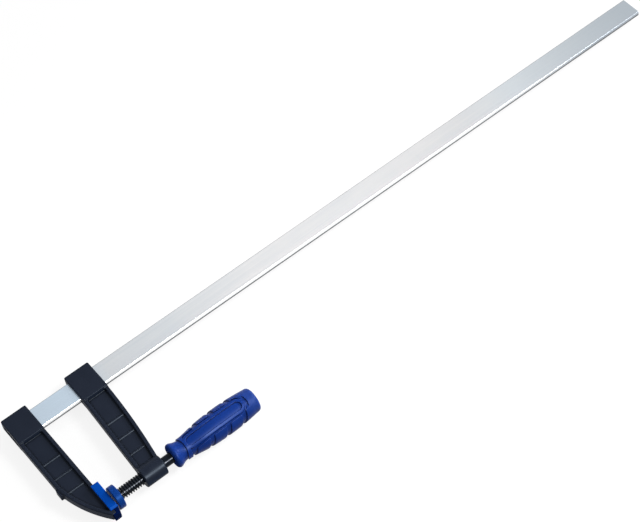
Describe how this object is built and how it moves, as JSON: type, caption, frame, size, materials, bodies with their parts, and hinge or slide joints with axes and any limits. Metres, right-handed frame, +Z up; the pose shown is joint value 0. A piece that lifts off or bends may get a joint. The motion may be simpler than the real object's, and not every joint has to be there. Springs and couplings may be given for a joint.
{
  "type": "screw clamp",
  "caption": "Bar clamp: a fixed jaw and a sliding jaw on a flat steel bar, with a screw spindle, swivel foot and moulded handle that press work against the fixed pad.",
  "frame": {"origin": "on the spindle axis, in the fixed pad's clamping face", "axes": "+X along the spindle and the bar, from the fixed pad to the handle; +Y from the spindle to the bar; +Z up when the clamp lies flat"},
  "size_m": [0.8843, 0.1719, 0.033],
  "materials": {
    "zinc_plate": "zinc plated",
    "slate_casting": "satin enamel",
    "spring_steel": "plain",
    "black_steel": "blackened, oiled",
    "blue_pad": "satin",
    "blue_handle": "satin"
  },
  "bodies": {
    "frame": {"bar": "zinc_plate", "fixed_jaw": "slate_casting", "fixed_jaw_pin": "spring_steel", "fixed_pad": "blue_pad"},
    "slider": {"sliding_jaw": "slate_casting"},
    "carrier": {"retaining_ring": "spring_steel"},
    "screw": {"spindle": "black_steel", "handle": "blue_handle"},
    "foot": {"pressure_plate": "spring_steel", "spindle_pad": "blue_pad"}
  },
  "joints": [
    {"name": "jaw_slide", "type": "slide", "parent": "frame", "child": "slider", "axis": [1, 0, 0], "range_m": [0, 0.765]},
    {"name": "screw_advance", "type": "slide", "parent": "slider", "child": "carrier", "axis": [1, 0, 0], "range_m": [0, 0.0256]},
    {"name": "screw_turn", "type": "hinge", "parent": "carrier", "child": "screw", "pos_m": [0, 0, 0], "axis": [1, 0, 0], "range_deg": [0, 3060]},
    {"name": "foot_tilt", "type": "hinge", "parent": "carrier", "child": "foot", "pos_m": [0.00756, 0, 0], "axis": [0, 0, 1], "range_deg": [-5, 5]}
  ],
  "couplings": [
    {"joint": "screw_advance", "follows": "screw_turn", "m_per_rad": 0.00047746}
  ]
}
